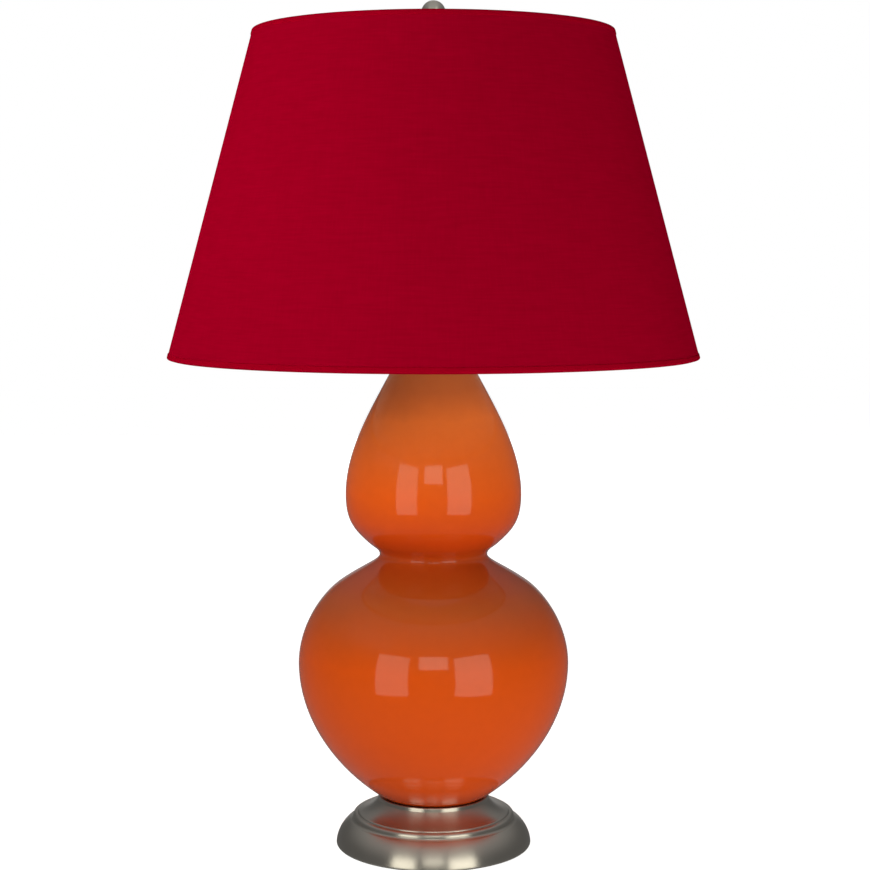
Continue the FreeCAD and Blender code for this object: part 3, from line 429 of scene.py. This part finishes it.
# ---- glazed double gourd ----
# foot, belly, shoulder, waist, waist's upper edge, upper bulb, neck and mouth
GOURD = [(46.6, GOURD_LOW, 57.5, 0.0, 0.359), (124.44, 172.0, 0.0, 0.342, 0.407),
         (87.06, 246.43, -55.1, 0.239, 0.57), (49.48, 272.73, 0.0, 0.136, 0.318),
         (59.67, 283.94, 47.7, 0.349, 0.39), (80.6, 328.36, 0.0, 0.485, 0.326),
         (39.23, 440.18, -28.5, 0.34, 0.34), (26.0, GOURD_TOP, 0.0, 0.34, 0.0)]
GOURD_WALL = 6.0
PIPE_HOLE_R = 6.6       # through the gourd's floor
gourd_outside = ([(45.9, GOURD_LOW)] + swell(GOURD, 22)[1:-1]
                 + [(26.0, 467.4), (25.7, 468.0), (25.2, GOURD_TOP)])
# down the inside, where two points at the rim stand in for the moved-in mouth
gourd_inside = [(20.8, GOURD_TOP), (20.2, 467.8)] + swell(moved_in(GOURD, GOURD_WALL), 9)[-2::-1]
gourd_floor = [(PIPE_HOLE_R, gourd_inside[-1][1]), (PIPE_HOLE_R, GOURD_LOW)]
gourd = turned("glazed_gourd", gourd_outside + gourd_inside + gourd_floor, "lamp_stand",
               [glaze, bisque], second_from=len(gourd_outside) - 1)
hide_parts("ceramic_body")

# ---- cap, neck and finial, turned in metal ----
METAL_BORE_R = 5.45     # over the pipe, in the cap and the neck
CAP_R = 29.2
NECK_R = 8.4


def cap_outline():
    """Flat under the dome, with a rolled lip that hangs round the gourd's mouth."""
    return profile((METAL_BORE_R, CAP_LOW), (27.2, CAP_LOW), (27.2, 467.3), (28.6, 467.3, 0.5, 4),
                   (CAP_R, 468.0, 0.12, 3), (CAP_R, CAP_LOW), (9.6, CAP_TOP, 1.6, 16),
                   (METAL_BORE_R, CAP_TOP))


cap = turned("domed_cap", cap_outline(), "lamp_stand", antique)
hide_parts("vase_cap")


def neck_outline():
    """Spool: a long hollow between two small beads."""
    return profile((METAL_BORE_R, CAP_TOP), (8.1, CAP_TOP), (NECK_R, 478.0),
                   (NECK_R, 480.3, 0.3, 4), (NECK_R, 496.6, -1.9, 14), (NECK_R, 498.9, 0.3, 4),
                   (8.1, NECK_TOP), (METAL_BORE_R, NECK_TOP))


neck = turned("turned_neck", neck_outline(), "lamp_stand", antique)
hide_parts("neck_tube")


def finial_outline():
    """Round foot, short stem and ball, bored for its threaded insert."""
    ball_r = 11.0
    foot_r = 6.6
    stem_r = 6.3
    bore_r = 4.95
    bore_end = 750.7
    centre = FINIAL_TOP - ball_r
    start = math.asin(stem_r / ball_r)
    ball = [(ball_r * math.sin(a), centre - ball_r * math.cos(a))
            for a in [start + (math.pi - start) * i / 40 for i in range(40)]]
    below = profile((bore_r, FINIAL_LOW), (foot_r, FINIAL_LOW), (foot_r, 738.5, 1.3, 10),
                    (stem_r, 739.2, -0.1, 3))
    return below + ball + [(0, FINIAL_TOP), (0, bore_end), (bore_r, bore_end)]


finial = turned("ball_finial", finial_outline(), "finial", antique)
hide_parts("finial_knob")


# ---- lamp holder ----
def holder_cap_outline():
    """Round hub, dome and short straight rim outside, then the same dome back down inside."""
    bore_r = 5.195
    rim_low = 519.5
    return profile((bore_r, 505.4), (7.7, 505.4), (8.0, 505.7), (8.0, 511.0),
                   (18.38, rim_low, 2.2, 14), (18.38, 523.1), (18.2, 523.5), (17.75, 523.5),
                   (17.68, 523.2), (17.68, rim_low), (7.3, 511.7, -2.2, 10), (bore_r, 511.7))


holder_cap = turned("spun_holder_cap", holder_cap_outline(), "lamp_stand", brass)
# the set screw's hole, through the back of the hub
bored(holder_cap, 1.5, (0, 4, 508.2), 16)
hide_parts("socket_cap")

# ---- bulb ----
BULB_CAP_LOW = 548.2
BULB_CAP_TOP = 566.35
THREAD_ROOT_R = 12.3
THREAD_DEPTH = 0.7
PITCH = 3.63
CAP_CHAMFER = 0.6
CAP_INSIDE_R = 9.4


def screw_thread(r, z, angle):
    """Rolled thread: the cap's outer wall rises and falls once a turn and pitch, and fades out
    over the first and last pitch. Points inside that wall stay."""
    if r < THREAD_ROOT_R:
        return r, z
    into = min(1.0, (z - BULB_CAP_LOW) / PITCH, (BULB_CAP_TOP - z) / PITCH)
    wave = 0.5 + 0.5 * math.cos(2 * math.pi * ((z - BULB_CAP_LOW) / PITCH) - angle)
    return r + THREAD_DEPTH * wave * max(0.0, into), z


def screw_cap_outline():
    """Chamfered cap whose outer wall has enough rows to carry the thread."""
    rows = 60
    wall_low = BULB_CAP_LOW + CAP_CHAMFER
    wall_length = BULB_CAP_TOP - BULB_CAP_LOW - CAP_CHAMFER
    wall = [(THREAD_ROOT_R, wall_low + wall_length * i / rows) for i in range(rows + 1)]
    return ([(CAP_INSIDE_R, BULB_CAP_LOW), (10.6, BULB_CAP_LOW)] + wall
            + [(CAP_INSIDE_R, BULB_CAP_TOP)])


screw_cap = turned("screw_cap", screw_cap_outline(), "bulb", aluminium,
                   shape=screw_thread, crease=60)
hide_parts("bulb_cap")

GLASS_WALL = 1.2
GLASS_R = 30.0
GLASS_WIDEST = 620.35   # height
GLASS_TOP = 650.35


def envelope(inset):
    """Pear-shaped bulb from its cap to its crown, moved in by a distance."""
    return swell([(THREAD_ROOT_R - inset, BULB_CAP_TOP, 3.0, 0.0, 0.42),
                  (GLASS_R - inset, GLASS_WIDEST, 0.0, 0.42, 0.39),
                  (0.0, GLASS_TOP - inset, -90.0, 0.39, 0.0)], 20)


bulb_envelope = turned("bulb_envelope", envelope(0) + envelope(GLASS_WALL)[::-1], "bulb", frosted)
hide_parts("bulb_glass")

# ---- shade ----
SHADE_LOW = 453.8
SHADE_HEIGHT = 292.6
SHADE_BOTTOM_R = 241.3
SHADE_TOP_R = 162.4
SLANT = math.hypot(SHADE_BOTTOM_R - SHADE_TOP_R, SHADE_HEIGHT)
UP_SLANT = ((SHADE_TOP_R - SHADE_BOTTOM_R) / SLANT, SHADE_HEIGHT / SLANT)
STRIP = 0.6             # folded strip and fabric are each this thick
LINING = 0.8
WIRE = 1.6              # ring wire's radius
FOLD = 4.8              # how far a strip reaches over the cloth and the lining
CHANNEL = STRIP + LINING + 2 * WIRE + 0.15      # what a strip goes round


def on_cone(along, outward):
    """Radius and height: along the slant from the lower edge, outward from the fabric's face."""
    out = outward - STRIP
    return (SHADE_BOTTOM_R + along * UP_SLANT[0] + out * UP_SLANT[1],
            SHADE_LOW + along * UP_SLANT[1] - out * UP_SLANT[0])


def cloth_outline():
    """Up the cloth's face and down its back, between the folds of the two strips."""
    rows = 12
    steps = [(SLANT - 2 * STRIP) * i / rows for i in range(rows + 1)]
    return ([on_cone(STRIP + step, 0) for step in steps]
            + [on_cone(SLANT - STRIP - step, -STRIP + 0.02) for step in steps])


cloth = turned("shade_cloth", cloth_outline(), "shade", red_cloth)
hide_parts("shade_fabric")


def folded_strip(name, edge, inward):
    """Strip of the same cloth folded over a ring: rounded outside, its raw ends just lifted.
    Edge is how far up the slant it sits; inward is 1 where it reaches up and -1 down."""
    deep = -CHANNEL - STRIP
    soft = 1.5
    over = arc((soft, STRIP), (0, STRIP - soft), soft * 0.29, 6)
    under = arc((0, deep + soft), (soft, deep), soft * 0.29, 6)
    outer = [(FOLD, STRIP * 0.55), (4.6, STRIP * 0.95), (3.9, STRIP), (soft, STRIP)] + over
    inner = ([(0, deep + soft)] + under
             + [(4.5, deep), (FOLD, deep + STRIP * 0.3), (FOLD, -CHANNEL),
                (STRIP + 0.6, -CHANNEL), (STRIP, -CHANNEL + 0.6), (STRIP, -0.3),
                (STRIP + 0.3, 0.02), (FOLD, 0.02)])
    outline = [on_cone(edge + inward * along, outward) for along, outward in outer + inner]
    return turned(name, outline, "shade", red_trim, crease=50)


lower_strip = folded_strip("lower_folded_strip", 0, 1)
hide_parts("shade_bottom_trim")
upper_strip = folded_strip("upper_folded_strip", SLANT, -1)
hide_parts("shade_top_trim")


def ring_wire(name, edge, inward):
    """Round steel wire against the lining, inside the folded strip."""
    r, z = on_cone(edge + inward * (STRIP + WIRE), -STRIP - LINING - WIRE)
    section = [(r + WIRE * math.cos(a), z + WIRE * math.sin(a))
               for a in [2 * math.pi * i / 16 for i in range(16)]]
    return turned(name, section, "shade", painted_wire, crease=60)


lower_wire = ring_wire("lower_ring_wire", 0, 1)
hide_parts("shade_bottom_ring")
upper_wire = ring_wire("upper_ring_wire", SLANT, -1)
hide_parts("shade_top_ring")


def lap_seam():
    """Where the cloth's ends meet at the back: one edge turned under and glued over the other."""
    form = bmesh.new()
    half = 5.0          # of the seam's width
    across = [(-half, -0.2), (-half, 0.12), (-half + 0.5, 0.34), (-half * 0.5, 0.38), (0, 0.36),
              (half * 0.5, 0.3), (half - 0.5, 0.2), (half, 0.02), (half, -0.2)]
    start = FOLD + 0.1
    rows = 24
    sections = []
    for i in range(rows + 1):
        along = start + (SLANT - 2 * start) * i / rows
        section = []
        for u, outward in across:
            r, z = on_cone(along, outward)
            a = u / r
            section.append(form.verts.new((r * MM * math.sin(a), r * MM * math.cos(a), z * MM)))
        sections.append(section)
    for low, high in zip(sections, sections[1:]):
        for k in range(len(across)):
            m = (k + 1) % len(across)
            form.faces.new((low[k], low[m], high[m], high[k]))
    form.faces.new(sections[0])
    form.faces.new(sections[-1])
    bmesh.ops.recalc_face_normals(form, faces=form.faces)
    return shown("lap_seam", mesh_of(form, "lap_seam"), "shade", red_cloth, 40)


seam = lap_seam()

# ---- solids that keep their own shape ----
FINISHES = {
    "cord_bushing": nylon, "base_weight": cast, "base_washer": zinc, "base_lock_washer": zinc,
    "base_locknut": zinc, "threaded_pipe": zinc, "harp_saddle": nickel, "saddle_locknut": brass,
    "harp_bow": nickel, "harp_sleeve_left": nickel, "harp_sleeve_right": nickel,
    "harp_swivel_stud": brass, "socket_set_screw": brass, "socket_shell": brass,
    "socket_liner": fibre, "socket_insulator": phenolic, "terminal_screws": brass,
    "socket_screw_shell": brass, "centre_contact": brass, "ring_contact": brass,
    "switch_shaft": brass, "switch_knob": phenolic, "bulb_contact": solder,
    "bulb_insulator": bead_glass, "shade_liner": styrene, "shade_spider": painted_wire,
    "finial_insert": brass,
}
for name, finish in FINISHES.items():
    solids[name].data.materials.clear()
    solids[name].data.materials.append(finish)


# ---- studio ----
WHITE = [1, 1, 1, 1]
WARM_LIGHT = (1.0, 0.98, 0.86)


def white_paper():
    """White paper: it shows white to the camera, keeps the lamp's soft shadow, throws light back
    up and is clear from below."""
    material = bpy.data.materials.new("white_paper")
    material.use_nodes = True
    tree = material.node_tree
    tree.nodes.clear()
    path = add(tree, "LightPath")
    bounce = add(tree, "BsdfDiffuse", {"Color": srgb("#E4E4E2")})
    glow = add(tree, "Emission", {"Color": WHITE, "Strength": 0.34})
    paper = add(tree, "AddShader", {0: (bounce, "BSDF"), 1: (glow, "Emission")})
    shadowed = add(tree, "BsdfDiffuse", {"Color": [0.8, 0.8, 0.8, 1]})
    lit = add(tree, "Emission", {"Color": WHITE, "Strength": 0.93})
    both = add(tree, "AddShader", {0: (shadowed, "BSDF"), 1: (lit, "Emission")})
    mixed = add(tree, "MixShader", {0: (path, "Is Camera Ray"), 1: (paper, "Shader"),
                                    2: (both, "Shader")})
    under = add(tree, "NewGeometry")
    clear = add(tree, "BsdfTransparent")
    one_way = add(tree, "MixShader", {0: (under, "Backfacing"), 1: (mixed, "Shader"),
                                      2: (clear, "BSDF")})
    add(tree, "OutputMaterial", {"Surface": (one_way, "Shader")})
    return material


def stage_plane(name, size, material):
    """Flat square that belongs to the studio, not to the lamp."""
    form = bmesh.new()
    bmesh.ops.create_grid(form, x_segments=1, y_segments=1, size=size / 2)
    plane = placed(name, mesh_of(form, name))
    plane.data.materials.append(material)
    return plane


# 12 m of floor, a hair under the felt so that the two faces don't meet; gloss doesn't see it
floor = stage_plane("floor", 12, white_paper())
floor.location.z = -0.2 * MM
floor.visible_glossy = False


def studio_world():
    """White background to the camera. Gloss sees a pale backdrop behind the lamp and a dim room
    round it, lighter towards the ceiling and the table; all else gets a level that is strongest
    low down."""
    world = bpy.data.worlds.new("studio")
    world.use_nodes = True
    tree = world.node_tree
    tree.nodes.clear()
    path = add(tree, "LightPath")
    place = add(tree, "TexCoord")
    apart = add(tree, "SeparateXYZ", {"Vector": (place, "Generated")})
    ceiling = add(tree, "MapRange", {"Value": (apart, "Z"), "From Min": 0.25, "From Max": 0.85,
                                     "To Min": 0.11, "To Max": 0.42})
    table = add(tree, "MapRange", {"Value": (apart, "Z"), "From Min": -0.1, "From Max": -0.7,
                                   "To Min": 0.0, "To Max": 0.12})
    room = add(tree, "Math", {0: (ceiling, "Result"), 1: (table, "Result")}, operation="ADD")
    behind = add(tree, "MapRange", {"Value": (apart, "Y"), "From Min": 0.95, "From Max": 0.985})
    backdrop = add(tree, "MixRGB", {"Fac": (behind, "Result"), "Color1": (room, "Value"),
                                    "Color2": [0.35, 0.35, 0.35, 1]})
    around = add(tree, "MapRange", {"Value": (apart, "Z"), "From Min": 0.0, "From Max": 0.45,
                                    "To Min": 0.42, "To Max": 0.06})
    level = add(tree, "MixRGB", {"Fac": (path, "Is Glossy Ray"), "Color1": (around, "Result"),
                                 "Color2": (backdrop, "Color")})
    colour = add(tree, "MixRGB", {"Fac": (path, "Is Camera Ray"), "Color1": (level, "Color"),
                                  "Color2": WHITE})
    shown_sky = add(tree, "Background", {"Color": (colour, "Color"), "Strength": 1.0})
    add(tree, "OutputWorld", {"Surface": (shown_sky, "Background")})
    bpy.context.scene.world = world


studio_world()


def panel(name, azimuth, half_width, low, high, radiance, distance=10.0, gloss=False):
    """Soft panel azimuth degrees right of -Y and half_width degrees to each side, between two
    elevations seen from the middle of the gourd. Either gloss alone sees it, or all but gloss."""
    turn = math.radians(azimuth)
    eye = 0.25          # metres up
    bottom = eye + distance * math.tan(math.radians(low))
    top = eye + distance * math.tan(math.radians(high))
    data = bpy.data.lights.new(name, "AREA")
    data.shape = "RECTANGLE"
    data.size = 2 * distance * math.tan(math.radians(half_width))
    data.size_y = top - bottom
    data.energy = radiance * math.pi * data.size * data.size_y
    data.color = WARM_LIGHT
    lamp = placed(name, data)
    lamp.location = (distance * math.sin(turn), -distance * math.cos(turn), (bottom + top) / 2)
    lamp.rotation_euler = (math.radians(90), 0, turn)
    lamp.visible_camera = False
    lamp.visible_glossy = gloss
    lamp.visible_diffuse = not gloss


# the three windows that the glaze and the metal show
panel("left_window", -35, 14, -18.5, 24, 2.05, gloss=True)
panel("right_window", 34, 16, -18.5, 24, 2.25, gloss=True)
panel("centre_window", 0, 12.3, 12, 26, 2.7, gloss=True)
# the light that falls on cloth, glaze and the rest
panel("left_light", -35, 14, -18.5, 17, 0.6, distance=4)
panel("right_light", 34, 16, -18.5, 17, 3.15, distance=4)
panel("shade_fill", -64, 25, 22, 38, 4.85, distance=0.9)
panel("front_fill", 26, 30, -10, 12, 1.35, distance=1.2)
panel("back_fill", 180, 32, -12, 26, 1.7, distance=4)

# ---- camera ----
# as far away and as high as fits the photographed outline best
LOOKS_DOWN = 5.42       # degrees
camera_data = bpy.data.cameras.new("camera")
camera_data.lens = 79.47
camera_data.sensor_width = 36
camera = placed("camera", camera_data)
camera.location = (0.0014, -1.750, 0.5482)
camera.rotation_euler = (math.radians(90 - LOOKS_DOWN), 0, 0)
bpy.context.scene.camera = camera
bpy.context.scene.view_settings.view_transform = "Standard"
